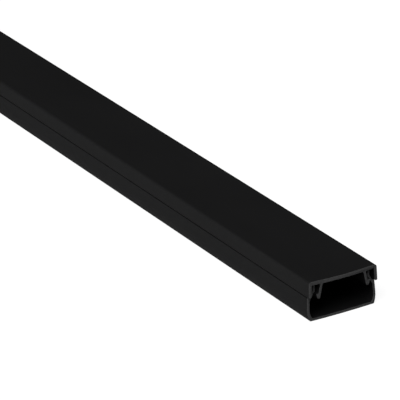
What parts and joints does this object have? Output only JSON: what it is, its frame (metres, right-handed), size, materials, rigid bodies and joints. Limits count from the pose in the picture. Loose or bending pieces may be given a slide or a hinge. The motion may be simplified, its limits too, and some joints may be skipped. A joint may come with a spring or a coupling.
{
  "type": "cable trunking",
  "caption": "Straight length of two-piece cable trunking: an open base channel and a flat cover that clips over it with barbed inner legs.",
  "frame": {"origin": "centre of the base channel's flat back face", "axes": "+X along the length, towards the end where the cover stands out past the base; +Y across; +Z out of the back face, towards the cover"},
  "size_m": [0.5012, 0.025, 0.014],
  "materials": {
    "base_pvc": "satin black extruded PVC",
    "cover_pvc": "satin black extruded PVC"
  },
  "bodies": {
    "base": {"base_channel": "base_pvc"},
    "cover": {"cover": "cover_pvc"}
  },
  "joints": [
    {"name": "cover_slide", "type": "slide", "parent": "base", "child": "cover", "axis": [1, 0, 0], "range_m": [-0.51, 0.51]}
  ]
}
